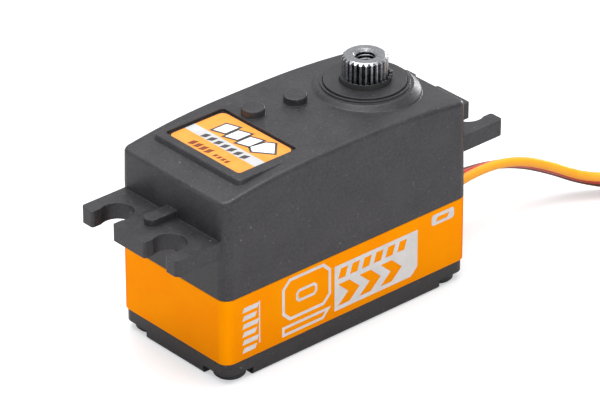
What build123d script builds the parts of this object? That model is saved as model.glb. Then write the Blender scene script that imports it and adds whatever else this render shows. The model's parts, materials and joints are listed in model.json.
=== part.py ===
from build123d import *
import os
from math import atan2, cos, degrees, hypot, pi, radians, sin, sqrt, tan

os.makedirs("parts", exist_ok=True)

# A low-profile digital servo. Millimetres. Z is up from the surface it stands on, X points
# towards the output shaft's end, and the origin is the middle of the underside.

# ---- driving dimensions: case ----
LENGTH = 40.8
WIDTH = 20.2
CORNER = 1.5
COVER_TOP = 2.85          # seam between bottom cover and middle case
MIDDLE_TOP = 12.1         # seam between middle case and upper case
CASE_TOP = 26.9           # flat crown of the upper case and top of the label pad
END_TOP = 25.35           # height of the crown at the two ends
CROWN_LEFT = -4.2         # the crown is flat between these two stations
CROWN_RIGHT = 2.0
DRAFT = 1.0               # mould draft of the upper case, degrees
RIM_R = 0.55              # rounding of the crown's rim
COVER_INSET = 0.2
GASKET_HEIGHT = 0.5
MIDDLE_WALL = 1.5
WALL = 1.35
CEILING = 24.4            # underside of the upper case's roof
DECK_BOTTOM = 15.8        # gear deck of the middle case
DECK_TOP = 17.0
DECK_FIT = 0.1            # gap between the middle case's spigot and the upper case

# ---- corner posts, feet and case screws ----
POST_X = 17.6
POST_Y = 7.5
POST_R = 2.1
FOOT_R = 2.05
FOOT_LIFT = 1.15          # the cover's wall stops this far above the surface at the corners
FOOT_FIELD_X = 15.75
FOOT_FIELD_Y = 5.45
SCREW_R = 0.98
SCREW_HEAD_R = 1.65
SCREW_HEAD_TOP = 1.9
SCREW_TIP = 20.4

# ---- mounting lugs ----
LUG_TIP = 27.15
LUG_HALF_WIDTH = 9.15
LUG_BOTTOM = 18.0
LUG_TOP = 20.25
HOLE_X = 24.75            # 49.5 between the two ends
HOLE_Y = 5.0              # 10.0 between the two sides
HOLE_R = 2.2
MOUTH = 3.9

# ---- label pad ----
PAD_LEFT = -16.9
PAD_HALF_WIDTH = 8.7
PAD_DRAFT = 14
RECESS = (-10.35, 0.35, 9.5, 14.0)        # centre x, centre y, length, width
RECESS_DEPTH = 0.45
LABEL = (9.0, 13.3, 0.12)                 # length, width, thickness

# ---- output shaft and its boss ----
SHAFT_X = 11.6
BOSS_TOP = 27.9
BOSS_R = 5.75
DISC_R = 5.3
BOSS_BASE_R = 7.1
SHAFT_TOP = 31.4
SPLINE_BOTTOM = 28.5
SPLINE_TEETH = 25
SPLINE_R = 2.95
SPLINE_ROOT_R = 2.62
JOURNAL_R = 3.0
LOWER_JOURNAL_R = 2.5
SHAFT_BOTTOM = 13.6
HORN_SCREW_R = 1.25       # tapping bore of the M3 horn screw
HORN_SCREW_DEPTH = 8.0

# ---- bearings: bore radius, outer radius, bottom, top ----
UPPER_BEARING = (3.0, 5.0, 24.4, 27.4)
LOWER_BEARING = (2.5, 4.5, 14.0, 17.0)
RACE_WALL = 0.62
BALL_R = 0.52
BALL_COUNT = 11

# ---- gear train: four stages of spur gears ----
BACKLASH = 0.08
STAGES = {                                 # module, driver teeth, driven teeth
    1: (0.20, 10, 45),
    2: (0.25, 11, 40),
    3: (0.30, 11, 32),
    4: (0.45, 14, 29),
}
LEVELS = {1: (17.3, 18.5), 2: (18.8, 20.0), 3: (20.3, 21.8), 4: (22.1, 24.1)}
PIN_R = 0.75
PIN_1 = (-3.8, 3.75)
PIN_2_ANGLE = 163.5                        # direction from the output shaft to pin 2
PIP_R = 1.52
PIP_TOP = 27.9

# ---- motor ----
MOTOR_R = 7.4
MOTOR_BOTTOM = 4.7
CAP_TOP = 6.5
MOTOR_SHAFT_R = 0.5

MOTOR_NOSE_R = 1.95

# ---- electronics ----
SENSOR_BUSH_R = 3.0
BOARD_BOTTOM = 3.0
BOARD_TOP = 4.0
SENSOR_SHAFT_R = 1.5
SENSOR_FLAT = 1.1

# ---- lead: three wires side by side ----
WIRE_R = 0.625
WIRE_PITCH = 1.28
GROMMET_Z = 7.5
GROMMET_FACE = 22.6
LEAD_ROUTE = [                             # x, y, z of the middle wire, the ribbon's twist, its pitch
    (22.6, 0.0, 7.5, 0, WIRE_PITCH),
    (25.6, 0.0, 7.5, 0, WIRE_PITCH),
    (29.6, -0.1, 7.6, 22, WIRE_PITCH),
    (34.2, -0.4, 7.45, 30, WIRE_PITCH),
    (38.6, -1.2, 6.5, 34, WIRE_PITCH),
    (42.6, -2.6, 4.75, 35, WIRE_PITCH),
    (46.2, -4.6, 2.75, 37, WIRE_PITCH),
    (49.6, -6.9, 1.98, 48, WIRE_PITCH),
    (52.8, -9.2, 1.94, 68, WIRE_PITCH),
    (55.6, -11.35, 1.93, 90, WIRE_PITCH),
    (58.15, -13.45, 1.93, 90, WIRE_PITCH),
]
COIL_HEADING = -41.5                       # direction in which the lead joins the coil, degrees
COIL_RUN_IN = 3.0                          # straight stretch from the lead's end to the first turn
COIL_R = 11.5                              # middle of the outermost turn
COIL_OUTER_R = 12.3
COIL_INNER_R = 5.0
COIL_HEIGHT = 3.95
OVER_TOP = [                               # the ribbon over the turns, in plan from the coil's middle
    (-2.6, -9.6), (-2.6, -4.9), (2.5, -5.2), (5.2, -3.0),
    (12.8, -3.0), (12.8, -6.5), (9.5, -10.2), (4.0, -10.8),
]
OVER_HEIGHT = 2.0
TIE_ANGLE = 100
CONNECTOR = (14.0, 7.7, 2.6)
CONTACT_PITCH = 2.54
CONNECTOR_PLACE = (9.0, 4.0)               # on the coil, from its middle; it points along Y


# ---- shared shapes ----
def rounded_block(length, width, bottom, top, corner, draft=0.0):
    """An upright block with rounded corners, narrowing upwards by the draft angle."""
    face = Pos(0, 0, bottom) * RectangleRounded(length, width, corner)
    return extrude(face, top - bottom, taper=draft)


def box_between(low, high):
    size = [b - a for a, b in zip(low, high)]
    middle = [(a + b) / 2 for a, b in zip(low, high)]
    return Pos(*middle) * Box(*size)


def post(x, y, bottom, top, radius):
    return Pos(x, y, (bottom + top) / 2) * Cylinder(radius, top - bottom)


def tube(x, y, bottom, top, outer, inner):
    return post(x, y, bottom, top, outer) - post(x, y, bottom - 1, top + 1, inner)


def corners():
    return [(sx * POST_X, sy * POST_Y) for sx in (-1, 1) for sy in (-1, 1)]


def joined(shapes):
    """Fuse the shapes into one solid."""
    result = shapes[0]
    for shape in shapes[1:]:
        result = result + shape
    return result


def group(shapes):
    """Keep the shapes as separate solids of one group."""
    return Compound(children=[s for shape in shapes for s in shape.solids()])


# ---- gear geometry ----
def polar(radius, angle):
    return (radius * cos(angle), radius * sin(angle))


def gear_outline(module, teeth, phase):
    """An involute spur gear's closed outline, with one tooth centred on the phase angle (degrees)."""
    pitch = module * teeth / 2
    pressure = radians(20)
    base = pitch * cos(pressure)
    tip = pitch + 0.85 * module
    root = pitch - 1.15 * module
    half_tooth = pi / (2 * teeth) - BACKLASH / (2 * pitch) + tan(pressure) - pressure

    def flank(radius):
        """Half of the tooth's angle at this radius."""
        if radius <= base:
            return half_tooth
        unroll = sqrt((radius / base) ** 2 - 1)
        return half_tooth - (unroll - atan2(unroll, 1))

    start = max(root, base)
    radii = [start + (tip - start) * i / 3 for i in range(4)]
    points = []
    for tooth in range(teeth):
        middle = radians(phase) + 2 * pi * tooth / teeth
        points.append(polar(root, middle - half_tooth * 1.05))
        points += [polar(r, middle - flank(r)) for r in radii]
        points += [polar(r, middle + flank(r)) for r in reversed(radii)]
        points.append(polar(root, middle + half_tooth * 1.05))
    return points


def toothed_disc(centre, module, teeth, phase, bottom, top):
    outline = Polyline(*gear_outline(module, teeth, phase), close=True)
    return extrude(Pos(centre[0], centre[1], bottom) * make_face(outline), top - bottom)


def direction(a, b):
    """Angle in degrees from point a to point b."""
    return degrees(atan2(b[1] - a[1], b[0] - a[0]))


def stage_distance(stage):
    module, driver, driven = STAGES[stage]
    return module * (driver + driven) / 2


def meeting_point(a, radius_a, b, radius_b):
    """The point at these distances from a and b that lies on the -Y side of them."""
    gap = hypot(b[0] - a[0], b[1] - a[1])
    along = (radius_a ** 2 - radius_b ** 2 + gap ** 2) / (2 * gap)
    aside = sqrt(radius_a ** 2 - along ** 2)
    ux, uy = (b[0] - a[0]) / gap, (b[1] - a[1]) / gap
    return (a[0] + ux * along + uy * aside, a[1] + uy * along - ux * aside)


OUTPUT = (SHAFT_X, 0.0)
reach = stage_distance(4)
PIN_2 = (SHAFT_X + reach * cos(radians(PIN_2_ANGLE)), reach * sin(radians(PIN_2_ANGLE)))
PIN_3 = meeting_point(PIN_1, stage_distance(2), PIN_2, stage_distance(3))
MOTOR = (PIN_1[0] - sqrt(stage_distance(1) ** 2 - PIN_1[1] ** 2), 0.0)
AXES = {1: (MOTOR, PIN_1), 2: (PIN_1, PIN_3), 3: (PIN_3, PIN_2), 4: (PIN_2, OUTPUT)}


def driver(stage, bottom, top):
    """The small toothed wheel of a stage: a tooth points at the wheel it drives."""
    module, teeth, _ = STAGES[stage]
    here, there = AXES[stage]
    return toothed_disc(here, module, teeth, direction(here, there), bottom, top)


def driven(stage, bottom, top):
    """The large toothed wheel of a stage: a gap faces the wheel that drives it."""
    module, _, teeth = STAGES[stage]
    there, here = AXES[stage]
    return toothed_disc(here, module, teeth, direction(here, there) + 180 / teeth, bottom, top)


# ---- case ----
def crown_profile(top, end_top, inset):
    """The case's side outline: a flat crown that bends down towards both ends."""
    left, right = -LENGTH / 2 + inset, LENGTH / 2 - inset
    bottom = MIDDLE_TOP - 1
    fall = top - end_top

    def bend(start, end):
        run = abs(end - start)
        radius = (run ** 2 + fall ** 2) / (2 * fall)
        half = atan2(run, radius - fall) / 2
        middle = (start + (end - start) / run * radius * sin(half), top - radius * (1 - cos(half)))
        return ThreePointArc((start, top), middle, (end, end_top))

    lines = [
        bend(CROWN_RIGHT, right),
        Line((right, end_top), (right, bottom)),
        Line((right, bottom), (left, bottom)),
        Line((left, bottom), (left, end_top)),
        bend(CROWN_LEFT, left),
        Line((CROWN_LEFT, top), (CROWN_RIGHT, top)),
    ]
    return make_face(Wire(lines))


def crowned_block():
    """The drafted block of the upper case, cut to its crown, with its top edges rounded."""
    block = rounded_block(LENGTH, WIDTH, MIDDLE_TOP, CASE_TOP + 2, CORNER, DRAFT)
    side = Plane.XZ * crown_profile(CASE_TOP, END_TOP, -1.0)
    crown = extrude(side, WIDTH, both=True)
    block = block & crown
    return fillet([e for e in block.edges() if is_rim(e)], RIM_R)


def is_rim(edge):
    """True for an edge on the outside of the crown, where the roof meets a wall."""
    middle = edge.position_at(0.5)
    near_side = abs(middle.Y) > WIDTH / 2 - 1.2
    near_end = abs(middle.X) > LENGTH / 2 - 1.6
    upright = edge.bounding_box().size.Z > 5.0
    return middle.Z > END_TOP - 1.0 and (near_side or near_end) and not upright


def lug(side):
    """One mounting lug: a plate with two open round notches and a centre rib."""
    reach = LUG_TIP - LENGTH / 2 + 2
    middle = LUG_TIP - reach / 2
    plate = Pos(middle, 0, LUG_BOTTOM) * RectangleRounded(reach, 2 * LUG_HALF_WIDTH, 0.55)
    plate = extrude(plate, LUG_TOP - LUG_BOTTOM)
    for sy in (-1, 1):
        plate = plate - post(HOLE_X, sy * HOLE_Y, LUG_BOTTOM - 1, LUG_TOP + 1, HOLE_R)
        plate = plate - box_between((HOLE_X, sy * HOLE_Y - MOUTH / 2, LUG_BOTTOM - 1),
                                    (LUG_TIP + 1, sy * HOLE_Y + MOUTH / 2, LUG_TOP + 1))
    prongs = [e for e in plate.edges().filter_by(Axis.Z)
              if abs(e.center().X - LUG_TIP) < 0.05 and abs(abs(e.center().Y) - HOLE_Y) < 2.5]
    plate = fillet(prongs, 0.35)
    rib = box_between((LENGTH / 2 - 1, -1.0, LUG_TOP - 0.5), (23.4, 1.0, LUG_TOP + 1.0))
    rib = rib + post(23.4, 0, LUG_TOP - 0.5, LUG_TOP + 1.0, 1.0)
    web = box_between((LENGTH / 2 - 1, -1.0, LUG_BOTTOM - 3.0), (LENGTH / 2 + 1.6, 1.0, LUG_BOTTOM + 0.5))
    slope = Plane.XZ * make_face(Polyline((LENGTH / 2 - 2, LUG_BOTTOM - 4), (LENGTH / 2 + 3, LUG_BOTTOM - 4),
                                          (LENGTH / 2 + 3, LUG_BOTTOM - 1), (LENGTH / 2 + 1.6, LUG_BOTTOM),
                                          (LENGTH / 2 - 0.2, LUG_BOTTOM - 2.9), close=True))
    web = web - extrude(slope, 3, both=True)
    whole = plate + rib + web
    keep = box_between((LENGTH / 2 - 0.9, -12, 0), (LUG_TIP + 1, 12, 30))
    whole = whole & keep
    return whole if side > 0 else whole.mirror(Plane.YZ)


def label_pad():
    """The raised pad that carries the label: it rises out of the falling crown."""
    length = CROWN_LEFT + 0.6 - PAD_LEFT
    face = Pos(PAD_LEFT + length / 2, 0, CEILING) * RectangleRounded(length, 2 * PAD_HALF_WIDTH, 1.2)
    pad = extrude(face, CASE_TOP - CEILING, taper=PAD_DRAFT)
    rim = pad.faces().sort_by(Axis.Z)[-1].edges()
    return fillet(rim, 0.2)


def label_recess():
    x, y, length, width = RECESS
    face = Pos(x, y, CASE_TOP - RECESS_DEPTH) * RectangleRounded(length, width, 0.5)
    return extrude(face, 3)


def boss():
    """The stepped round boss around the output shaft."""
    outline = Polyline((0, CEILING), (BOSS_BASE_R + 0.6, CEILING), (BOSS_BASE_R, CASE_TOP - 0.35),
                       (BOSS_R + 0.45, BOSS_TOP - 0.55), (BOSS_R, BOSS_TOP - 0.5), (BOSS_R, BOSS_TOP - 0.2),
                       (DISC_R + 0.12, BOSS_TOP - 0.2), (DISC_R + 0.12, BOSS_TOP - 0.42),
                       (DISC_R, BOSS_TOP - 0.42), (DISC_R, BOSS_TOP), (0, BOSS_TOP), close=True)
    return Pos(SHAFT_X, 0, 0) * revolve(Plane.XZ * make_face(outline), Axis.Z)


def pips():
    """Two round pads over the ends of the gear pins."""
    shapes = []
    for x, y in (PIN_1, PIN_2):
        pip = post(x, y, CEILING, PIP_TOP, PIP_R)
        shapes.append(fillet(pip.edges().sort_by(Axis.Z)[-1:], 0.15))
    return shapes


def upper_case():
    """Black moulded upper case with crown, label pad, boss, pips and mounting lugs."""
    shell = crowned_block() + label_pad() + boss()
    shell = joined([shell] + pips() + [lug(-1), lug(1)])
    shell = shell - label_recess()
    inner = rounded_block(LENGTH - 2 * WALL, WIDTH - 2 * WALL, MIDDLE_TOP - 1, CEILING, 0.6)
    low, high = MIDDLE_TOP - 2, CEILING + 1
    for x, y in corners():
        inner = inner - post(x, y, low, high, POST_R)
        gap_x = box_between((min(x, 2 * x), y - POST_R, low), (max(x, 2 * x), y + POST_R, high))
        gap_y = box_between((x - POST_R, min(y, 2 * y), low), (x + POST_R, max(y, 2 * y), high))
        inner = inner - gap_x - gap_y
    shell = shell - inner
    for x, y in corners():
        shell = shell - post(x, y, MIDDLE_TOP - 1, SCREW_TIP + 0.3, SCREW_R + 0.02)
    for x, y in (PIN_1, PIN_2, PIN_3):
        shell = shell - post(x, y, CEILING - 1, CEILING + 1.2, PIN_R)
    shell = shell - post(SHAFT_X, 0, CEILING - 1, UPPER_BEARING[3], UPPER_BEARING[1])
    return shell - post(SHAFT_X, 0, CEILING, BOSS_TOP + 1, JOURNAL_R + 0.27)


def corner_field(x, y, inward, bottom, top):
    """A box that holds a case corner, from this far inside its post's axis outwards."""
    sx, sy = (1 if x > 0 else -1), (1 if y > 0 else -1)
    xs, ys = sorted((x - sx * inward, x + sx * 9)), sorted((y - sy * inward, y + sy * 9))
    return box_between((xs[0], ys[0], bottom), (xs[1], ys[1], top))


def without_corners(block, inward, bottom, top):
    for x, y in corners():
        block = block - corner_field(x, y, inward, bottom, top)
    return block


def middle_case():
    """Anodised aluminium middle case: a ring, a spigot inside the upper case, and the gear deck."""
    ring = rounded_block(LENGTH, WIDTH, COVER_TOP, MIDDLE_TOP, CORNER)
    rims = [e for e in ring.edges() if abs(e.center().Z - (COVER_TOP + MIDDLE_TOP) / 2) > 4]
    ring = chamfer(rims, 0.12)
    length, width = LENGTH - 2 * (WALL + DECK_FIT), WIDTH - 2 * (WALL + DECK_FIT)
    spigot = rounded_block(length, width, MIDDLE_TOP - 1.5, DECK_TOP, 0.6)
    spigot = without_corners(spigot, POST_R + DECK_FIT, MIDDLE_TOP, DECK_TOP + 1)
    room_length, room_width = LENGTH - 2 * MIDDLE_WALL, WIDTH - 2 * MIDDLE_WALL
    low_room = rounded_block(room_length, room_width, COVER_TOP - 1, MIDDLE_TOP - 1.5, 0.5)
    high_room = rounded_block(length - 2.0, width - 2.0, MIDDLE_TOP - 2, DECK_BOTTOM, 0.5)
    low_room = without_corners(low_room, POST_R, 0, MIDDLE_TOP)
    high_room = without_corners(high_room, POST_R + 1.1, 0, DECK_TOP)
    hub = post(*OUTPUT, 11.5, DECK_TOP, 5.6)
    body = ring + spigot - low_room - high_room + hub
    body = body - post(*OUTPUT, LOWER_BEARING[2], DECK_TOP + 1, LOWER_BEARING[1])
    body = body - post(*OUTPUT, 11, DECK_TOP, SENSOR_BUSH_R + 0.05)
    body = body - post(*MOTOR, DECK_BOTTOM - 1, DECK_TOP + 1, MOTOR_NOSE_R + 0.05)
    for x, y in motor_screw_places():
        body = body - post(x, y, DECK_BOTTOM - 1, DECK_TOP + 1, 0.85)
        body = body - post(x, y, DECK_TOP - 0.5, DECK_TOP + 1, 1.35)
    for x, y in (PIN_1, PIN_2, PIN_3):
        body = body - post(x, y, DECK_TOP - 0.9, DECK_TOP + 1, PIN_R)
    for x, y in corners():
        body = body - post(x, y, COVER_TOP - 1, MIDDLE_TOP + 1, SCREW_R + 0.1)
    return body - grommet_notch()


def grommet_notch():
    """The slot in the end wall that holds the lead's grommet, open at the cover."""
    return box_between((LENGTH / 2 - 4, -2.9, COVER_TOP - 1), (LENGTH / 2 + 1, 2.9, GROMMET_Z + 1.4))


def gasket_ring():
    """The gasket's rectangular ring, which lies in a groove around the cover's rim."""
    bottom = COVER_TOP - GASKET_HEIGHT
    outer = rounded_block(LENGTH - 1.3, WIDTH - 1.3, bottom, COVER_TOP, CORNER - 0.5)
    return outer - rounded_block(LENGTH - 2.2, WIDTH - 2.2, bottom - 1, COVER_TOP + 1, CORNER - 0.9)


def bottom_cover():
    """Black bottom cover: a tray whose corners are lifted around four screw feet."""
    length, width = LENGTH - 2 * COVER_INSET, WIDTH - 2 * COVER_INSET
    tray = rounded_block(length, width, 0, COVER_TOP, CORNER - 0.1)
    tray = fillet([e for e in tray.edges() if abs(e.center().Z) < 0.01], 0.45)
    for x, y in corners():
        inward = abs(x) - FOOT_FIELD_X, abs(y) - FOOT_FIELD_Y
        sx, sy = (1 if x > 0 else -1), (1 if y > 0 else -1)
        xs, ys = sorted((x - sx * inward[0], x + sx * 9)), sorted((y - sy * inward[1], y + sy * 9))
        tray = tray - box_between((xs[0], ys[0], -1), (xs[1], ys[1], FOOT_LIFT))
    well = rounded_block(length - 2 * WALL, width - 2 * WALL, 1.2, COVER_TOP + 1, 0.6)
    tray = tray - without_corners(well, 2.6, 0, COVER_TOP + 2)
    for x, y in corners():
        foot = post(x, y, 0, FOOT_LIFT + 0.2, FOOT_R)
        foot = chamfer(foot.edges().sort_by(Axis.Z)[:1], 0.2)
        tray = tray + foot
    for x, y in corners():
        tray = tray - post(x, y, -1, SCREW_HEAD_TOP, SCREW_HEAD_R + 0.05)
        tray = tray - post(x, y, 0, COVER_TOP + 1, SCREW_R + 0.1)
    for sx in (-1, 1):
        for sy in (-1, 1):
            rib = Pos(sx * 11.0, sy * 7.9, (1.0 + BOARD_BOTTOM) / 2) * Box(1.2, 1.4, BOARD_BOTTOM - 1.0)
            tray = tray + rib
    return tray - gasket_ring()


def case_screw(x, y):
    """A socket-head screw that holds the three case parts together."""
    head = post(x, y, 0.35, SCREW_HEAD_TOP, SCREW_HEAD_R)
    head = fillet(head.edges().sort_by(Axis.Z)[:1], 0.2)
    socket = extrude(Pos(x, y, 0.3) * RegularPolygon(0.85, 6), 0.9)
    shank = post(x, y, SCREW_HEAD_TOP - 0.2, SCREW_TIP - 0.5, SCREW_R)
    tip = Pos(x, y, SCREW_TIP - 0.25) * Cone(SCREW_R, 0.5, 0.5)
    return (head - socket) + shank + tip


def case_screws():
    return group([case_screw(x, y) for x, y in corners()])


def top_label():
    """The printed label in the pad's recess."""
    x, y = RECESS[0], RECESS[1]
    length, width, thick = LABEL
    return extrude(Pos(x, y, CASE_TOP - RECESS_DEPTH) * RectangleRounded(length, width, 0.9), thick)


def cover_gasket():
    """Thin rubber gasket in the seam between the cover and the middle case."""
    return gasket_ring()


# ---- output shaft ----
def output_shaft():
    """Steel output shaft: splined head, two journals, a gear seat and a flat socket below."""
    inner, outer, above = SPLINE_R - 0.42, SPLINE_R + 0.4, SHAFT_TOP + 0.5
    bevel_points = [(inner, SHAFT_TOP), (outer, SHAFT_TOP - 0.6), (outer, above), (inner, above)]
    bevel = make_face(Polyline(*bevel_points, close=True))
    head = spline_disc(SPLINE_BOTTOM, SHAFT_TOP) - Pos(SHAFT_X, 0, 0) * revolve(Plane.XZ * bevel, Axis.Z)
    seat_bottom, seat_top = LEVELS[4]
    shaft = joined([
        post(*OUTPUT, SHAFT_BOTTOM, seat_bottom - 0.3, LOWER_JOURNAL_R - 0.01),
        post(*OUTPUT, seat_bottom - 0.3, seat_top, JOURNAL_R),
        post(*OUTPUT, seat_top, UPPER_BEARING[2], JOURNAL_R + 0.4),
        post(*OUTPUT, UPPER_BEARING[2], SPLINE_BOTTOM, JOURNAL_R - 0.01),
        head,
    ])
    bore = post(*OUTPUT, SHAFT_TOP - HORN_SCREW_DEPTH, SHAFT_TOP + 1, HORN_SCREW_R)
    sink = Pos(SHAFT_X, 0, SHAFT_TOP - 0.15) * Cone(HORN_SCREW_R, HORN_SCREW_R + 0.3, 0.31)
    socket = post(*OUTPUT, SHAFT_BOTTOM - 1, SHAFT_BOTTOM + 3.0, SENSOR_SHAFT_R + 0.03)
    socket = socket - box_between((SHAFT_X + SENSOR_FLAT + 0.03, -3, 0), (SHAFT_X + 3, 3, 20))
    return shaft - bore - sink - socket


def spline_disc(bottom, top):
    """The 25-tooth spline: straight-sided teeth between two circles."""
    points = []
    step = 2 * pi / SPLINE_TEETH
    for tooth in range(SPLINE_TEETH):
        middle = tooth * step
        points += [polar(SPLINE_ROOT_R, middle - 0.42 * step), polar(SPLINE_R, middle - 0.14 * step),
                   polar(SPLINE_R, middle + 0.14 * step), polar(SPLINE_ROOT_R, middle + 0.42 * step)]
    outline = make_face(Polyline(*points, close=True))
    return extrude(Pos(SHAFT_X, 0, bottom) * outline, top - bottom)


def output_gear():
    wheel = driven(4, *LEVELS[4])
    return wheel - post(*OUTPUT, 0, 40, JOURNAL_R)


def shaft_seal():
    """The rubber collar that turns with the shaft and fills the boss's bore."""
    return tube(*OUTPUT, UPPER_BEARING[3] + 0.02, SPLINE_BOTTOM, JOURNAL_R + 0.2, JOURNAL_R - 0.01)


# ---- ball bearings ----
def race(bearing):
    """The doughnut in which a bearing's balls run."""
    bore, outer, bottom, top = bearing
    return Pos(SHAFT_X, 0, (bottom + top) / 2) * Torus((bore + outer) / 2, BALL_R + 0.03)


def bearing_outer(bearing):
    bore, outer, bottom, top = bearing
    return tube(*OUTPUT, bottom, top, outer, outer - RACE_WALL) - race(bearing)


def bearing_inner(bearing):
    bore, outer, bottom, top = bearing
    return tube(*OUTPUT, bottom, top, bore + RACE_WALL, bore) - race(bearing)


def ball_places(bearing):
    """The balls' centres, evenly spaced around the race."""
    bore, outer, bottom, top = bearing
    steps = [polar((bore + outer) / 2, 2 * pi * i / BALL_COUNT) for i in range(BALL_COUNT)]
    return [(SHAFT_X + x, y, (bottom + top) / 2) for x, y in steps]


def bearing_balls(bearing):
    return group([Pos(*place) * Sphere(BALL_R) for place in ball_places(bearing)])


def bearing_cage(bearing):
    """The thin ring that keeps the balls apart."""
    bore, outer, bottom, top = bearing
    middle = (bore + outer) / 2
    cage = tube(*OUTPUT, bottom + 0.5, top - 0.5, middle + 0.2, middle - 0.2)
    for x, y, z in ball_places(bearing):
        pocket = Rot(0, 0, direction(OUTPUT, (x, y))) * Rot(0, 90, 0) * Cylinder(BALL_R + 0.03, 1.0)
        cage = cage - Pos(x, y, z) * pocket
    return cage


# ---- idler gears and their pins ----
def idler_pin(place):
    return post(*place, DECK_TOP - 0.9, CEILING + 1.2, PIN_R)


def first_gear():
    """Driven by the motor pinion; its small wheel drives the second gear."""
    gear = driven(1, *LEVELS[1]) + driver(2, LEVELS[1][1], LEVELS[2][1])
    gear = gear + post(*PIN_1, DECK_TOP + 0.05, LEVELS[1][0], 1.2)
    return gear - post(*PIN_1, 0, 40, PIN_R + 0.03)


def second_gear():
    gear = driven(2, *LEVELS[2]) + driver(3, LEVELS[2][1], LEVELS[3][1])
    gear = gear + post(*PIN_3, DECK_TOP + 0.05, LEVELS[2][0], 1.3)
    return gear - post(*PIN_3, 0, 40, PIN_R + 0.03)


def third_gear():
    gear = driven(3, *LEVELS[3]) + driver(4, LEVELS[3][1], LEVELS[4][1])
    gear = gear + post(*PIN_2, DECK_TOP + 0.05, LEVELS[3][0], 1.1)
    return gear - post(*PIN_2, 0, 40, PIN_R + 0.03)


# ---- motor ----
def motor_screw_places():
    return [(MOTOR[0], MOTOR[1] + s * 4.6) for s in (-1, 1)]


def motor_can():
    """Deep-drawn steel can with a bearing nose, closed below by the end cap."""
    can = post(*MOTOR, MOTOR_BOTTOM + 0.4, DECK_BOTTOM, MOTOR_R)
    can = fillet(can.edges().sort_by(Axis.Z)[-1:], 0.5)
    can = can - post(*MOTOR, MOTOR_BOTTOM, DECK_BOTTOM - 0.6, MOTOR_R - 0.5)
    can = can + post(*MOTOR, DECK_BOTTOM - 0.6, DECK_BOTTOM + 0.9, MOTOR_NOSE_R)
    can = can - post(*MOTOR, 0, 30, 1.2)
    for x, y in motor_screw_places():
        can = can - post(x, y, DECK_BOTTOM - 2, DECK_BOTTOM + 1, 0.75)
    return can


def motor_end_cap():
    cap = post(*MOTOR, MOTOR_BOTTOM, CAP_TOP, MOTOR_R - 0.5)
    cap = cap - post(*MOTOR, MOTOR_BOTTOM + 0.8, CAP_TOP + 1, MOTOR_R - 1.2)
    cap = cap + post(*MOTOR, MOTOR_BOTTOM, CAP_TOP, 1.6)
    cap = cap - post(*MOTOR, 0, 10, MOTOR_SHAFT_R + 0.03)
    for sy in (-1, 1):
        cap = cap - post(MOTOR[0], sy * 4.5, 0, CAP_TOP, 0.55)
    return cap


def motor_bushing():
    """Sintered bush in the can's nose."""
    return tube(*MOTOR, DECK_BOTTOM - 0.6, DECK_BOTTOM + 0.9, 1.2, MOTOR_SHAFT_R + 0.02)


def motor_magnet():
    """The fixed magnet sleeve inside the can."""
    return tube(*MOTOR, CAP_TOP + 0.6, DECK_BOTTOM - 0.6, MOTOR_R - 0.5, MOTOR_R - 2.0)


def rotor_core():
    """Laminated rotor with five slots."""
    core = post(*MOTOR, CAP_TOP + 1.6, DECK_BOTTOM - 1.8, MOTOR_R - 2.2)
    for i in range(5):
        x, y = polar(MOTOR_R - 2.6, 2 * pi * i / 5)
        core = core - post(MOTOR[0] + x, MOTOR[1] + y, 0, 20, 0.45)
        x, y = polar(3.5, 2 * pi * i / 5)
        core = core - post(MOTOR[0] + x, MOTOR[1] + y, 0, 20, 0.7)
    return core - post(*MOTOR, 0, 30, MOTOR_SHAFT_R)


def rotor_windings():
    """Five coils wound through the slots' openings."""
    coils = []
    for i in range(5):
        x, y = polar(3.5, 2 * pi * i / 5)
        coils.append(post(MOTOR[0] + x, MOTOR[1] + y, CAP_TOP + 1.0, DECK_BOTTOM - 1.2, 0.68))
    return group(coils)


def motor_shaft():
    return post(*MOTOR, MOTOR_BOTTOM + 0.3, LEVELS[1][1] + 0.6, MOTOR_SHAFT_R)


def commutator():
    return tube(*MOTOR, CAP_TOP + 0.1, CAP_TOP + 1.4, 1.5, MOTOR_SHAFT_R)


def motor_brushes():
    """Two brush blades that reach in to the commutator."""
    blades = []
    for sy in (-1, 1):
        low = (MOTOR[0] - 0.5, min(sy * 1.53, sy * 4.8), CAP_TOP + 0.3)
        high = (MOTOR[0] + 0.5, max(sy * 1.53, sy * 4.8), CAP_TOP + 0.5)
        blades.append(box_between(low, high))
    return group(blades)


def motor_terminals():
    """Two solder pins from the brushes down into the board."""
    return group([post(MOTOR[0], sy * 4.5, BOARD_BOTTOM - 0.3, CAP_TOP + 0.3, 0.45) for sy in (-1, 1)])


def motor_pinion():
    pinion = driver(1, DECK_TOP + 0.2, LEVELS[1][1] + 0.3)
    return pinion - post(*MOTOR, 0, 30, MOTOR_SHAFT_R)


def motor_screws():
    """Two pan-head screws through the deck into the can."""
    screws = []
    for x, y in motor_screw_places():
        shank = post(x, y, DECK_BOTTOM - 0.6, DECK_TOP, 0.74)
        head = post(x, y, DECK_TOP - 0.45, DECK_TOP + 0.15, 1.25)
        head = fillet(head.edges().sort_by(Axis.Z)[-1:], 0.2)
        screws.append(head + shank)
    return group(screws)


# ---- position sensor ----
def potentiometer_housing():
    """Round potentiometer body with its bushing in the deck's boss."""
    body = post(*OUTPUT, BOARD_TOP + 0.3, 9.0, 4.6) + post(*OUTPUT, 9.0, 13.3, SENSOR_BUSH_R)
    body = body - post(*OUTPUT, BOARD_TOP + 1.2, 8.2, 3.9)
    return body - post(*OUTPUT, 8, 20, SENSOR_SHAFT_R + 0.06)


def potentiometer_shaft():
    shaft = post(*OUTPUT, 6.4, SHAFT_BOTTOM + 2.8, SENSOR_SHAFT_R)
    return shaft - box_between((SHAFT_X + SENSOR_FLAT, -3, SHAFT_BOTTOM - 0.1), (SHAFT_X + 3, 3, 20))


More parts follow.
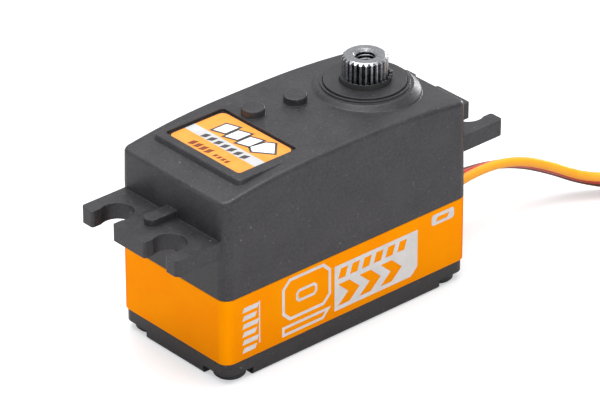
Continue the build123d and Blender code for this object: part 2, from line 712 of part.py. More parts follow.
def potentiometer_wiper():
    """The contact arm that turns on the potentiometer's shaft."""
    arm = post(*OUTPUT, 5.9, 6.4, 2.0)
    return arm + box_between((SHAFT_X, -0.6, 5.9), (SHAFT_X + 3.5, 0.6, 6.2))


def potentiometer_track():
    """The resistive ring on the floor of the potentiometer."""
    return tube(*OUTPUT, BOARD_TOP + 1.2, BOARD_TOP + 1.5, 3.8, 2.2)


def potentiometer_terminals():
    return group([post(SHAFT_X - 3.0, y, BOARD_BOTTOM - 0.3, BOARD_TOP + 0.3, 0.35) for y in (-2.2, 0, 2.2)])


# ---- circuit board ----
def circuit_board():
    board = rounded_block(35.6, 15.4, BOARD_BOTTOM, BOARD_TOP, 0.8)
    for x, y in corners():
        board = board - post(x, y, 0, 10, POST_R + 1.3)
    for sy in (-1, 1):
        board = board - post(MOTOR[0], sy * 4.5, 0, 10, 0.5)
    for y in (-2.2, 0, 2.2):
        board = board - post(SHAFT_X - 3.0, y, 0, 10, 0.4)
    return board


def chip(x, y, length, width, height):
    """A flat chip under the board with a row of legs on both long sides."""
    body = box_between((x - length / 2, y - width / 2, BOARD_BOTTOM - height),
                       (x + length / 2, y + width / 2, BOARD_BOTTOM - 0.05))
    legs = []
    count = int(length / 0.9)
    for i in range(count):
        leg_x = x - length / 2 + length * (i + 0.5) / count
        legs.append(box_between((leg_x - 0.18, y - width / 2 - 0.6, BOARD_BOTTOM - 0.35),
                                (leg_x + 0.18, y + width / 2 + 0.6, BOARD_BOTTOM)))
    return joined([body] + legs)


def controller_chip():
    return chip(2.0, 0.0, 7.0, 5.0, 1.0)


def driver_chips():
    return group([chip(-13.0 + 10.5 * i, sy * 5.2, 3.6, 2.4, 1.0) for i in (0, 1) for sy in (-1, 1)])


def board_capacitor():
    return box_between((1.4, 4.4, BOARD_TOP), (4.0, 6.6, BOARD_TOP + 1.6))


# ---- lead ----
def cable_grommet():
    """Rubber grommet that fills the end wall's slot, with a short tapered sleeve outside."""
    wall_x = LENGTH / 2
    block_low = (wall_x - MIDDLE_WALL - 0.8, -2.85, COVER_TOP + 0.05)
    block = box_between(block_low, (wall_x + 0.05, 2.85, GROMMET_Z + 1.35))
    flange = box_between((wall_x + 0.05, -3.3, GROMMET_Z - 2.0), (wall_x + 0.55, 3.3, GROMMET_Z + 1.7))
    base = Pos(wall_x + 0.5, 0, GROMMET_Z) * (Plane.YZ * RectangleRounded(5.6, 2.6, 1.2))
    nose = Pos(GROMMET_FACE, 0, GROMMET_Z) * (Plane.YZ * RectangleRounded(4.7, 1.9, 0.9))
    sleeve = loft([base.face(), nose.face()])
    whole = block + flange + sleeve
    for k in (-1, 0, 1):
        hole = Pos((wall_x - 4 + GROMMET_FACE) / 2, k * WIRE_PITCH, GROMMET_Z)
        whole = whole - hole * Rot(0, 90, 0) * Cylinder(WIRE_R + 0.005, GROMMET_FACE - wall_x + 8)
    return whole


def lead_inner_ends():
    """The three wires inside the case, from the board up through the grommet."""
    wires = []
    for place in (-1, 0, 1):
        y = place * WIRE_PITCH
        corner, exit_point = (17.0, y, GROMMET_Z), (GROMMET_FACE, y, GROMMET_Z)
        path = FilletPolyline((17.0, y, BOARD_TOP), corner, exit_point, radius=1.0)
        wires.append(sweep(Plane((17.0, y, BOARD_TOP), z_dir=(0, 0, 1)) * Circle(WIRE_R), path))
    return group(wires)


def wire_points(route, place):
    """One wire's route: the middle wire's, moved along the twisted ribbon's width."""
    points = []
    for i, (x, y, z, twist, pitch) in enumerate(route):
        before, after = route[max(i - 1, 0)], route[min(i + 1, len(route) - 1)]
        heading = atan2(after[1] - before[1], after[0] - before[0])
        side = (sin(heading) * cos(radians(twist)), -cos(heading) * cos(radians(twist)), sin(radians(twist)))
        points.append(tuple(c + place * pitch * s for c, s in zip((x, y, z), side)))
    return points


def bend_radii(points):
    """Each corner's radius: 0.45 of its shorter run over the tangent of half its turn."""
    radii = []
    for a, b, c in zip(points, points[1:], points[2:]):
        first, second = Vector(*b) - Vector(*a), Vector(*c) - Vector(*b)
        half = radians(first.get_angle(second)) / 2
        radii.append(0.45 * min(first.length, second.length) / tan(half))
    return radii


def wire_tube(name, points):
    radii = bend_radii(points)
    path = FilletPolyline(*points, radius=radii)
    start = Vector(*points[1]) - Vector(*points[0])
    wire = sweep(Plane(points[0], z_dir=start) * Circle(WIRE_R), path)
    ratio = wire.volume / (pi * WIRE_R ** 2 * path.length)
    print(name, "length", round(path.length, 1), "volume ratio", round(ratio, 4),
          "radii", [round(r, 1) for r in radii])
    return wire


def coil_centre():
    """The lead's end runs straight into the outermost turn, which goes round to the left."""
    c, s = cos(radians(COIL_HEADING)), sin(radians(COIL_HEADING))
    end = LEAD_ROUTE[-1]
    return end[0] + COIL_RUN_IN * c - COIL_R * s, end[1] + COIL_RUN_IN * s + COIL_R * c


def lead_wire(place):
    return wire_tube("lead wire", wire_points(LEAD_ROUTE, place))


def lead_coil():
    """The wound part of the lead as one closed outer shape: run-in, turns and the end over the top."""
    x, y = coil_centre()
    turns = post(x, y, 0, COIL_HEIGHT, COIL_OUTER_R) - post(x, y, -1, COIL_HEIGHT + 1, COIL_INNER_R)
    lead_end = Pos(*LEAD_ROUTE[-1][:2], COIL_HEIGHT / 2) * Rot(0, 0, COIL_HEADING)
    turns = turns - lead_end * Pos(-2, 0, 0) * Box(4, 1.44, COIL_HEIGHT + 2)
    run_in = lead_end * Pos(COIL_RUN_IN / 2, 0, 0) * Box(COIL_RUN_IN, 1.44, COIL_HEIGHT)
    over = extrude(make_face(Polyline(*OVER_TOP, close=True)), OVER_HEIGHT)
    return turns + run_in + Pos(x, y, COIL_HEIGHT) * over


def lead_tie():
    """The band over the coil's turns, closed by a twist on top."""
    x, y = coil_centre()
    middle = (COIL_OUTER_R + COIL_INNER_R) / 2
    band = Pos(middle, 0, 0.25) * Box(7.0, 2.4, 0.5)
    knot = Pos(middle, 0, 0.75) * Box(3.2, 2.0, 0.9)
    return Pos(x, y, COIL_HEIGHT) * Rot(0, 0, TIE_ANGLE) * (band + knot)


def connector_place():
    x, y = coil_centre()
    return Pos(x + CONNECTOR_PLACE[0], y + CONNECTOR_PLACE[1], COIL_HEIGHT + CONNECTOR[2] / 2) * Rot(0, 0, 90)


def connector_housing():
    """The three-way plug on the lead's end, with a window over each contact."""
    length, width, height = CONNECTOR
    body = Box(length, width, height)
    body = chamfer(body.edges().filter_by(Axis.X).sort_by(Axis.Z)[-2:], 0.3)
    for place in (-1, 0, 1):
        y = place * CONTACT_PITCH
        body = body - Pos(2.0, y, 0) * Box(11.0, 1.3, 1.3)
        body = body - Pos(-1.2, y, height / 2) * Box(3.2, 1.1, 1.2)
    return connector_place() * body


def connector_contacts():
    contact = Pos(0.7, 0, 0) * Box(8.0, 1.1, 1.1) - Pos(2.0, 0, 0) * Box(8.0, 0.8, 0.8)
    return group([connector_place() * Pos(0, place * CONTACT_PITCH, 0) * contact for place in (-1, 0, 1)])


NODES = {
    "upper_case": upper_case,
    "middle_case": middle_case,
    "bottom_cover": bottom_cover,
    "cover_gasket": cover_gasket,
    "case_screws": case_screws,
    "top_label": top_label,
    "output_shaft": output_shaft,
    "output_gear": output_gear,
    "shaft_seal": shaft_seal,
    "upper_bearing_outer_ring": lambda: bearing_outer(UPPER_BEARING),
    "upper_bearing_inner_ring": lambda: bearing_inner(UPPER_BEARING),
    "upper_bearing_balls": lambda: bearing_balls(UPPER_BEARING),
    "upper_bearing_cage": lambda: bearing_cage(UPPER_BEARING),
    "lower_bearing_outer_ring": lambda: bearing_outer(LOWER_BEARING),
    "lower_bearing_inner_ring": lambda: bearing_inner(LOWER_BEARING),
    "lower_bearing_balls": lambda: bearing_balls(LOWER_BEARING),
    "lower_bearing_cage": lambda: bearing_cage(LOWER_BEARING),
    "gear_pin_1": lambda: idler_pin(PIN_1),
    "gear_pin_2": lambda: idler_pin(PIN_2),
    "gear_pin_3": lambda: idler_pin(PIN_3),
    "first_gear": first_gear,
    "second_gear": second_gear,
    "third_gear": third_gear,
    "motor_pinion": motor_pinion,
    "motor_can": motor_can,
    "motor_end_cap": motor_end_cap,
    "motor_bushing": motor_bushing,
    "motor_magnet": motor_magnet,
    "rotor_core": rotor_core,
    "rotor_windings": rotor_windings,
    "motor_shaft": motor_shaft,
    "commutator": commutator,
    "motor_brushes": motor_brushes,
    "motor_terminals": motor_terminals,
    "motor_screws": motor_screws,
    "potentiometer_housing": potentiometer_housing,
    "potentiometer_track": potentiometer_track,
    "potentiometer_shaft": potentiometer_shaft,
    "potentiometer_wiper": potentiometer_wiper,
    "potentiometer_terminals": potentiometer_terminals,
    "circuit_board": circuit_board,
    "controller_chip": controller_chip,
    "driver_chips": driver_chips,
    "board_capacitor": board_capacitor,
    "cable_grommet": cable_grommet,
    "lead_inner_ends": lead_inner_ends,
    "signal_wire": lambda: lead_wire(1),
    "power_wire": lambda: lead_wire(0),
    "ground_wire": lambda: lead_wire(-1),
    "lead_coil": lead_coil,
    "lead_tie": lead_tie,
    "connector_housing": connector_housing,
    "connector_contacts": connector_contacts,
}

for name, make in NODES.items():
    export_step(make(), f"parts/{name}.step")
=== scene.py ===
"""Looks for the low-profile servo: camera, lead, prints, materials, light."""

import json
import math

import bmesh
import bpy
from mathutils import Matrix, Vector, noise


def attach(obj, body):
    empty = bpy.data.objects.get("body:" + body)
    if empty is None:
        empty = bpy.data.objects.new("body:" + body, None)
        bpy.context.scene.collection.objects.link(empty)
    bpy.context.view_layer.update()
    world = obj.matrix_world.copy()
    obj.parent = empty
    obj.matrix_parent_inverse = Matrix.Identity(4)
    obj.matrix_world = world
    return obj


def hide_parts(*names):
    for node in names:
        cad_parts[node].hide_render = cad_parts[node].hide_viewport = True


MM = 0.001

# ---- camera: fitted to the case's corners ----
CAMERA_AZIMUTH = -41.521
CAMERA_ELEVATION = 29.551
CAMERA_DISTANCE = 0.5309
CAMERA_TARGET = (0.00457, 0.00438, 0.01114)
CAMERA_LENS = 249.9

# ---- light and floor ----
WORLD_STRENGTH = 0.68
AREA_LIGHTS = [         # name, place, point it aims at, size, power
    ("top_softbox", (0.0, 0.1, 0.9), (0, 0, 0), 0.8, 9.2),
    ("front_fill", (-0.35, -0.75, 0.22), (0, 0, 0.01), 0.6, 1.5),
    ("right_rim", (0.8, 0.27, 0.1), (0, 0, 0.02), 0.22, 2.0),
]
FLOOR_HALF = 3          # metres
FLOOR_LIFT = 0.44       # how far the overexposed floor's shadows are lifted in the picture

# ---- servo dimensions the looks lean on, millimetres ----
SIDE_Y = -10.1
SHAFT_X = 11.6
SPLINE_ROOT_R = 2.62
SPLINE_R = 2.95
HORN_BORE_R = 1.25
THREAD_PITCH = 0.5
SHAFT_CHAMFER_Z = 30.95
UNDARKENED_FACE_R = 2.1        # the top face inside this radius gets neither the painted groove shade nor oil
OIL_TOP = 29.45         # oil collects round the spline's foot, fading out up to here
OIL_BOTTOM = 28.8
LABEL_TOP = 26.57
GREASE_BEADS = [        # angle round the shaft, radius, height, size
    (-62, 3.12, 28.62, 0.30), (-50, 3.2, 28.66, 0.36), (-41, 3.18, 28.9, 0.26),
    (-33, 3.22, 28.64, 0.32), (-20, 3.15, 28.6, 0.24), (-48, 3.0, 29.25, 0.17), (-88, 3.08, 28.58, 0.2),
    (-75, 3.0, 28.5, 0.17), (-99, 3.0, 28.5, 0.22), (-112, 3.02, 28.5, 0.19), (-126, 3.0, 28.48, 0.21),
    (-141, 3.0, 28.5, 0.18), (-153, 3.02, 28.5, 0.22), (-168, 3.0, 28.48, 0.2), (178, 3.0, 28.5, 0.19),
]

# ---- lead ----
WIRE_R = 0.625
WIRE_PITCH = 1.28
LEAD_ROUTE = [          # x, y, z of the middle wire, the ribbon's twist in degrees, its pitch
    (22.6, 0.0, 7.5, 0, WIRE_PITCH),
    (25.6, 0.0, 7.5, 0, WIRE_PITCH),
    (29.6, -0.1, 7.6, 22, WIRE_PITCH),
    (34.2, -0.4, 7.45, 30, WIRE_PITCH),
    (38.6, -1.2, 6.5, 34, WIRE_PITCH),
    (42.6, -2.6, 4.75, 35, WIRE_PITCH),
    (46.2, -4.6, 2.75, 37, WIRE_PITCH),
    (49.6, -6.9, 1.98, 48, WIRE_PITCH),
    (52.8, -9.2, 1.94, 68, WIRE_PITCH),
    (55.6, -11.35, 1.93, 90, WIRE_PITCH),
]
LEAD_END = (58.15, -13.45)
COIL_HEADING = -41.5    # the lead's direction where it joins the coil, degrees
COIL_RUN_IN = 3.0
COIL_R = 11.5           # middle of the outermost turn
TURN_PITCH = 1.4        # from one turn to the next one inwards
COIL_STEP = 22.5        # degrees between two control points
COIL_POINTS = 60
LYING_Z = 1.93
TIE_ANGLE = 100
TIE_LIFT = 0.35         # how far the turns rise where they lie on the tie
TIE_WIDTH = 2.2
TIE_THICK = 0.3
BAND_R = (5.2, 11.8)    # from the coil's middle
BAND_Z = (0.02, 4.58)
BAND_CORNER = 0.7
TAIL_STEPS = 22
TAIL_TURN = 400         # degrees from root to tip
TAIL_START_R = 8.0
TAIL_LENGTH = 5.0
TAIL_SWAY = 0.35
TAIL_Z = 4.85
TAIL_DROP = 0.12
TAIL_HALF_WIDTH = 0.75
TAIL_TAPER = 0.15
TAIL_HALF_THICK = 0.16
COIL_END = [            # from the coil's middle: angle, radius, height, twist of the ribbon as it climbs
    (172, 6.15, 2.15, 90),
    (195, 6.1, 2.7, 88),
    (218, 6.15, 3.35, 78),
    (240, 6.4, 3.95, 58),
    (262, 7.1, 4.4, 34),
]
OVER_TURNS = [          # x and y from the coil's middle, height, twist, pitch, up to the plug
    (2.4, -7.9, 4.7, 12, 1.35),
    (5.6, -7.6, 4.95, 3, 1.6),
    (8.2, -6.2, 5.2, 0, 2.1),
    (9.0, -4.6, 5.25, 0, 2.5),
    (9.0, -3.0, 5.25, 0, 2.54),
]

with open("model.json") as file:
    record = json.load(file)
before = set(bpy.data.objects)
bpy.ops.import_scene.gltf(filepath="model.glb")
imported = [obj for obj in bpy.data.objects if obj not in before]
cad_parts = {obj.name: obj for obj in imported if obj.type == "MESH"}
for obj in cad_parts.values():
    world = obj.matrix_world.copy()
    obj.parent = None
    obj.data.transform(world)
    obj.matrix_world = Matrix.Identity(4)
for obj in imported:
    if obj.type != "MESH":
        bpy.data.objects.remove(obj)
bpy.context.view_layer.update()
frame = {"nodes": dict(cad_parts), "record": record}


# ---- camera, floor and light ----
def add_camera():
    a, e = math.radians(CAMERA_AZIMUTH), math.radians(CAMERA_ELEVATION)
    back = Vector((math.sin(a) * math.cos(e), -math.cos(a) * math.cos(e), math.sin(e)))
    camera = bpy.data.objects.new("camera", bpy.data.cameras.new("camera"))
    camera.data.lens = CAMERA_LENS
    camera.data.sensor_width = 36
    camera.data.clip_start = 0.01
    camera.data.clip_end = 20
    camera.location = Vector(CAMERA_TARGET) + back * CAMERA_DISTANCE
    camera.rotation_mode = "QUATERNION"
    camera.rotation_quaternion = (-back).to_track_quat("-Z", "Y")
    bpy.context.scene.collection.objects.link(camera)
    bpy.context.scene.camera = camera


def add_area_light(name, place, aim, size, power):
    data = bpy.data.lights.new(name, "AREA")
    data.shape = "SQUARE"
    data.size = size
    data.energy = power
    light = bpy.data.objects.new(name, data)
    light.location = place
    light.rotation_mode = "QUATERNION"
    light.rotation_quaternion = (Vector(aim) - Vector(place)).to_track_quat("-Z", "Y")
    bpy.context.scene.collection.objects.link(light)


def add_world(strength):
    world = bpy.data.worlds.new("studio")
    world.use_nodes = True
    background = world.node_tree.nodes["Background"]
    background.inputs["Color"].default_value = (1, 1, 1, 1)
    background.inputs["Strength"].default_value = strength
    bpy.context.scene.world = world


# ---- procedural materials ----
class Recipe:
    """One procedural material: each call adds a node and hands back its output socket."""

    def __init__(self, name, **shader):
        self.material = bpy.data.materials.new(name)
        self.material.use_nodes = True
        self.tree = self.material.node_tree
        self.shader = self.tree.nodes["Principled BSDF"]
        for socket, value in shader.items():
            self.set(self.shader, socket.replace("_", " "), value)
        self.place = self.node("ShaderNodeTexCoord").outputs["Object"]

    def set(self, node, socket, value):
        target = node.inputs[socket]
        if isinstance(value, bpy.types.NodeSocket):
            self.tree.links.new(value, target)
        elif isinstance(value, tuple) and len(value) == 3 and target.type == "RGBA":
            target.default_value = (*value, 1)
        else:
            target.default_value = value

    def node(self, kind, settings=None, **inputs):
        node = self.tree.nodes.new(kind)
        for key, value in (settings or {}).items():
            setattr(node, key, value)
        for socket, value in inputs.items():
            self.set(node, socket, value)
        return node

    def stretched(self, x, y, z):
        return self.node("ShaderNodeMapping", Vector=self.place, Scale=(x, y, z)).outputs["Vector"]

    def noise(self, scale, detail=2.0, roughness=0.5, place=None):
        node = self.node("ShaderNodeTexNoise", Vector=place or self.place, Scale=scale, Detail=detail,
                         Roughness=roughness)
        return node.outputs["Fac"]

    def math(self, operation, a, b=0.0):
        node = self.node("ShaderNodeMath", {"operation": operation})
        self.set(node, 0, a)
        self.set(node, 1, b)
        return node.outputs["Value"]

    def span(self, value, low, high, to_low=0.0, to_high=1.0):
        """value between low and high, spread to to_low..to_high and clamped."""
        node = self.node("ShaderNodeMapRange")
        sockets = {"Value": value, "From Min": low, "From Max": high, "To Min": to_low, "To Max": to_high}
        for socket, number in sockets.items():
            self.set(node, socket, number)
        return node.outputs["Result"]

    def mix(self, factor, a, b):
        node = self.node("ShaderNodeMix", {"data_type": "RGBA"})
        self.set(node, 0, factor)
        self.set(node, 6, a)
        self.set(node, 7, b)
        return node.outputs[2]

    def bump(self, height, depth_mm, strength=1.0, normal=None):
        node = self.node("ShaderNodeBump", Height=height, Distance=depth_mm * MM, Strength=strength)
        if normal is not None:
            self.set(node, "Normal", normal)
        return node.outputs["Normal"]

    def soft_edges(self, radius_mm):
        node = self.node("ShaderNodeBevel", {"samples": 6}, Radius=radius_mm * MM)
        return node.outputs["Normal"]

    def edge_mask(self, radius_mm, low=0.75, high=0.99):
        """1 along sharp edges, 0 on flat stretches."""
        rounded = self.soft_edges(radius_mm)
        flat = self.node("ShaderNodeNewGeometry").outputs["Normal"]
        node = self.node("ShaderNodeVectorMath", {"operation": "DOT_PRODUCT"})
        self.set(node, 0, rounded)
        self.set(node, 1, flat)
        return self.span(node.outputs["Value"], high, low)

    def flecks(self, scale, size, share):
        """Small round specks: one in some of the cells of a grid of that scale."""
        cells = self.node("ShaderNodeTexVoronoi", Vector=self.place, Scale=scale)
        near = self.span(cells.outputs["Distance"], size, size * 0.6)
        split = self.node("ShaderNodeSeparateColor", Color=cells.outputs["Color"])
        chosen = self.math("LESS_THAN", split.outputs[0], share)
        return self.math("MULTIPLY", near, chosen)

    def finish(self, colour=None, roughness=None, normal=None):
        for socket, value in (("Base Color", colour), ("Roughness", roughness), ("Normal", normal)):
            if value is not None:
                self.set(self.shader, socket, value)
        return self.material


def moulded_plastic(name, dark, light, roughness, grain=6500, grain_depth=0.010, fleck_share=0.10):
    """Fine-textured moulded nylon: tone drift, grain, dust specks, hair scratches, lighter edges that are
    part edge wear, part painted highlight.
    """
    m = Recipe(name, IOR=1.48)
    tone = m.noise(260, 3.0, 0.6)
    fine = m.noise(grain, 2.0, 0.6)
    speckle = m.noise(2800, 4.0, 0.7)
    mottle = m.math("ADD", m.math("MULTIPLY", tone, 0.35), m.math("MULTIPLY", speckle, 0.65))
    colour = m.mix(m.span(mottle, 0.38, 0.62), dark, light)
    # lighter edges: part edge wear, part painted highlight along every sharp edge
    colour = m.mix(m.math("MULTIPLY", m.edge_mask(0.16), 0.32), colour, tuple(2.6 * c for c in light))
    scratch = m.noise(900, 1.0, 0.5, m.stretched(0.06, 1.0, 0.4))
    scratch = m.span(m.math("ABSOLUTE", m.math("SUBTRACT", scratch, 0.5)), 0.004, 0.0)
    scratch = m.math("MULTIPLY", scratch, m.span(m.noise(150), 0.62, 0.7, 0.0, 0.35))
    dust = m.math("MULTIPLY", m.flecks(1500, 0.17, 0.3), 0.7)
    specks = m.math("MAXIMUM", m.flecks(620, 0.10, fleck_share), dust)
    marks = m.math("MAXIMUM", scratch, m.math("MULTIPLY", specks, 0.33))
    colour = m.mix(marks, colour, (0.30, 0.30, 0.31))
    rough = m.span(m.math("ADD", m.math("MULTIPLY", tone, 0.6), m.math("MULTIPLY", fine, 0.4)), 0.3, 0.7,
                   roughness - 0.06, roughness + 0.08)
    normal = m.bump(fine, grain_depth, 0.9, m.soft_edges(0.18))
    normal = m.bump(tone, 0.02, 0.25, normal)
    return m.finish(colour, rough, normal)


def anodised(name, colour, light):
    """Bead-blasted, dyed aluminium with tiny dark specks, painted glints and a painted highlight along
    the edges.
    """
    m = Recipe(name, Metallic=0.85, Specular_Tint=(1.0, 0.35, 0.02))
    tone = m.noise(180, 3.0, 0.6)
    fine = m.noise(9000, 2.0, 0.5)
    base = m.mix(m.span(tone, 0.35, 0.65), colour, light)
    # painted highlight: a lighter, yellower orange along the edges
    base = m.mix(m.math("MULTIPLY", m.edge_mask(0.1), 0.3), base, (1.0, 0.46, 0.06))
    # tiny dark specks in the base colour
    dark_specks = m.flecks(380, 0.06, 0.09)
    base = m.mix(m.math("MULTIPLY", dark_specks, 0.7), base, (0.10, 0.045, 0.01))
    # painted glints: small light yellow-orange specks in the base colour that stand for sparkle
    painted_glints = m.flecks(760, 0.07, 0.05)
    base = m.mix(m.math("MULTIPLY", painted_glints, 0.45), base, (1.0, 0.62, 0.22))
    rough = m.span(fine, 0.3, 0.7, 0.38, 0.5)
    normal = m.bump(fine, 0.004, 0.6, m.soft_edges(0.12))
    return m.finish(base, rough, normal)


def printed(name, dark, light, roughness=0.5):
    m = Recipe(name, IOR=1.45)
    tone = m.noise(420, 3.0, 0.6)
    fine = m.noise(8000, 2.0, 0.5)
    colour = m.mix(m.span(tone, 0.3, 0.7), dark, light)
    rough = m.span(fine, 0.3, 0.7, roughness - 0.05, roughness + 0.06)
    return m.finish(colour, rough, m.bump(fine, 0.003, 0.5))


def from_axis(m, x_mm):
    """Distance from an upright axis over the X axis, the angle round it, and the height."""
    split = m.node("ShaderNodeSeparateXYZ", Vector=m.place)
    x, y = m.math("SUBTRACT", split.outputs["X"], x_mm * MM), split.outputs["Y"]
    radius = m.math("SQRT", m.math("ADD", m.math("MULTIPLY", x, x), m.math("MULTIPLY", y, y)))
    return radius, m.math("ARCTAN2", y, x), split.outputs["Z"]


def splined_steel(name):
    """Machined steel with painted shade in the spline's grooves, oil round its foot, and a thread down
    the horn screw's hole whose grooves are painted dark as shade.
    """
    m = Recipe(name, Metallic=1.0)
    radius, angle, z = from_axis(m, SHAFT_X)
    fine = m.noise(3500, 3.0, 0.6)
    drawn = m.noise(2600, 2.0, 0.5, m.stretched(0.25, 0.25, 4.0))
    steel = m.mix(m.span(fine, 0.3, 0.7), (0.30, 0.31, 0.33), (0.52, 0.53, 0.56))
    uneven_radius = m.math("ADD", radius, m.math("MULTIPLY", fine, 0.12 * MM))
    uneven_height = m.math("ADD", z, m.math("MULTIPLY", fine, 0.6 * MM))
    # painted shade: the spline's grooves below the chamfer are darkened
    groove_shade_and_oil = m.span(uneven_radius, (SPLINE_R - 0.02) * MM, (SPLINE_ROOT_R + 0.17) * MM)
    low = m.math("LESS_THAN", z, SHAFT_CHAMFER_Z * MM)
    groove_shade_and_oil = m.math("MULTIPLY", m.math("MULTIPLY", groove_shade_and_oil, low), m.span(m.noise(900), 0.25, 0.6, 0.82, 1.0))
    groove_shade_and_oil = m.math("MAXIMUM", groove_shade_and_oil, m.span(uneven_height, OIL_TOP * MM, OIL_BOTTOM * MM, 0.0, 0.7))
    outside = m.math("GREATER_THAN", radius, UNDARKENED_FACE_R * MM)
    groove_shade_and_oil = m.math("MULTIPLY", groove_shade_and_oil, outside)
    # painted shade in the spline's grooves, with dark oil round the spline's foot
    colour = m.mix(groove_shade_and_oil, steel, (0.022, 0.023, 0.026))
    turns = m.math("ADD", m.math("MULTIPLY", z, 2 * math.pi / (THREAD_PITCH * MM)), angle)
    thread = m.span(m.math("SINE", turns), -0.4, 0.8)
    in_hole = m.math("LESS_THAN", radius, (HORN_BORE_R + 0.03) * MM)
    # painted shade: the thread's grooves in the horn screw's hole are darkened
    thread_shade = m.math("MULTIPLY", in_hole, m.span(thread, 0, 1, 0.95, 0.0))
    colour = m.mix(thread_shade, colour, (0.012, 0.012, 0.014))
    rough = m.math("ADD", m.span(drawn, 0.3, 0.7, 0.22, 0.36), m.math("MULTIPLY", groove_shade_and_oil, 0.06))
    normal = m.bump(m.math("MULTIPLY", thread, in_hole), 0.14, 1.0, m.soft_edges(0.06))
    normal = m.bump(drawn, 0.006, 0.6, normal)
    return m.finish(colour, rough, normal)


def metal(name, dark, light, roughness=0.32, stretch=(1, 1, 1), scale=2400):
    m = Recipe(name, Metallic=1.0)
    lines = m.noise(scale, 3.0, 0.6, m.stretched(*stretch))
    tone = m.noise(220, 2.0, 0.5)
    colour = m.mix(m.span(tone, 0.3, 0.7), dark, light)
    rough = m.span(lines, 0.3, 0.7, roughness - 0.07, roughness + 0.1)
    return m.finish(colour, rough, m.bump(lines, 0.006, 0.6, m.soft_edges(0.06)))


def soft_plastic(name, dark, light, roughness, coat=0.0, grain=3800):
    m = Recipe(name, IOR=1.5, Coat_Weight=coat, Coat_Roughness=0.25)
    tone = m.noise(320, 3.0, 0.6)
    fine = m.noise(grain, 2.0, 0.5)
    colour = m.mix(m.span(tone, 0.3, 0.7), dark, light)
    rough = m.span(fine, 0.3, 0.7, roughness - 0.05, roughness + 0.07)
    return m.finish(colour, rough, m.bump(fine, 0.006, 0.6))


def floor_material():
    m = Recipe("pale_floor", IOR=1.3, Emission_Color=(0.97, 0.985, 1.0))
    tone = m.noise(6, 2.0, 0.5)
    colour = m.mix(m.span(tone, 0.3, 0.7), (0.62, 0.62, 0.625), (0.66, 0.66, 0.665))
    seen = m.node("ShaderNodeLightPath").outputs["Is Camera Ray"]
    m.set(m.shader, "Emission Strength", m.math("MULTIPLY", seen, FLOOR_LIFT))
    return m.finish(colour, m.span(tone, 0.3, 0.7, 0.55, 0.65))


MATERIALS = {
    "black_nylon": moulded_plastic("black_nylon", (0.018, 0.0168, 0.0195), (0.040, 0.038, 0.0425), 0.42),
    "cover_nylon": moulded_plastic("cover_nylon", (0.014, 0.014, 0.015), (0.028, 0.027, 0.029), 0.38,
                                   fleck_share=0.06),
    "plug_nylon": soft_plastic("plug_nylon", (0.018, 0.018, 0.019), (0.028, 0.028, 0.029), 0.4),
    "orange_anodised": anodised("orange_anodised", (0.99, 0.315, 0.0), (1.0, 0.345, 0.0)),
    "label_orange": printed("label_orange", (0.93, 0.30, 0.03), (0.97, 0.36, 0.055), 0.42),
    "print_grey": printed("print_grey", (0.60, 0.58, 0.57), (0.70, 0.68, 0.67), 0.55),
    "label_grey": printed("label_grey", (0.50, 0.51, 0.52), (0.58, 0.59, 0.60), 0.45),
    "label_white": printed("label_white", (0.88, 0.88, 0.88), (0.95, 0.95, 0.95), 0.45),
    "label_ink": printed("label_ink", (0.045, 0.040, 0.045), (0.075, 0.065, 0.07), 0.45),
    "label_rust": printed("label_rust", (0.19, 0.040, 0.008), (0.25, 0.055, 0.012), 0.45),
    "shaft_steel": splined_steel("shaft_steel"),
    "gear_steel": metal("gear_steel", (0.42, 0.42, 0.43), (0.56, 0.56, 0.57)),
    "bearing_steel": metal("bearing_steel", (0.58, 0.58, 0.6), (0.68, 0.68, 0.7), 0.18),
    "screw_steel": metal("screw_steel", (0.05, 0.05, 0.055), (0.09, 0.09, 0.095), 0.34),
    "can_steel": metal("can_steel", (0.5, 0.5, 0.51), (0.62, 0.62, 0.63), 0.3, (1, 1, 8)),
    "magnet": metal("magnet", (0.06, 0.06, 0.065), (0.1, 0.1, 0.105), 0.6),
    "copper": metal("copper", (0.62, 0.25, 0.12), (0.78, 0.36, 0.2), 0.3, (8, 8, 1)),
    "gold_contact": metal("gold_contact", (0.75, 0.5, 0.18), (0.88, 0.64, 0.28), 0.26),
    "white_nylon": soft_plastic("white_nylon", (0.62, 0.61, 0.58), (0.74, 0.73, 0.69), 0.45),
    "board": soft_plastic("board", (0.012, 0.12, 0.045), (0.02, 0.17, 0.065), 0.35, 0.3),
    "chip": soft_plastic("chip", (0.02, 0.02, 0.021), (0.032, 0.032, 0.033), 0.42),
    "black_rubber": soft_plastic("black_rubber", (0.020, 0.020, 0.021), (0.032, 0.032, 0.033), 0.6),
    "wire_yellow": soft_plastic("wire_yellow", (0.92, 0.36, 0.002), (0.97, 0.42, 0.006), 0.36, 0.15),
    "wire_red": soft_plastic("wire_red", (0.52, 0.035, 0.02), (0.6, 0.05, 0.03), 0.36, 0.15),
    "wire_brown": soft_plastic("wire_brown", (0.11, 0.035, 0.015), (0.15, 0.05, 0.022), 0.36, 0.15),
    "tie_paper": soft_plastic("tie_paper", (0.66, 0.66, 0.64), (0.76, 0.76, 0.74), 0.55),
    "grease": soft_plastic("grease", (0.012, 0.012, 0.014), (0.03, 0.03, 0.034), 0.16),
}
LOOKS = {
    "upper_case": "black_nylon",
    "bottom_cover": "cover_nylon",
    "middle_case": "orange_anodised",
    "top_label": "label_orange",
    "output_shaft": "shaft_steel",
    "connector_housing": "plug_nylon",
}


def dress_frame():
    """Every CAD node gets the material that LOOKS names, or its record slot's."""
    slots = {part["node"]: part["material_slot"] for part in frame["record"]["subparts"]}
    for name, node in frame["nodes"].items():
        material = MATERIALS[LOOKS.get(name, slots[name])]
        node.data.materials.clear()
        node.data.materials.append(material)


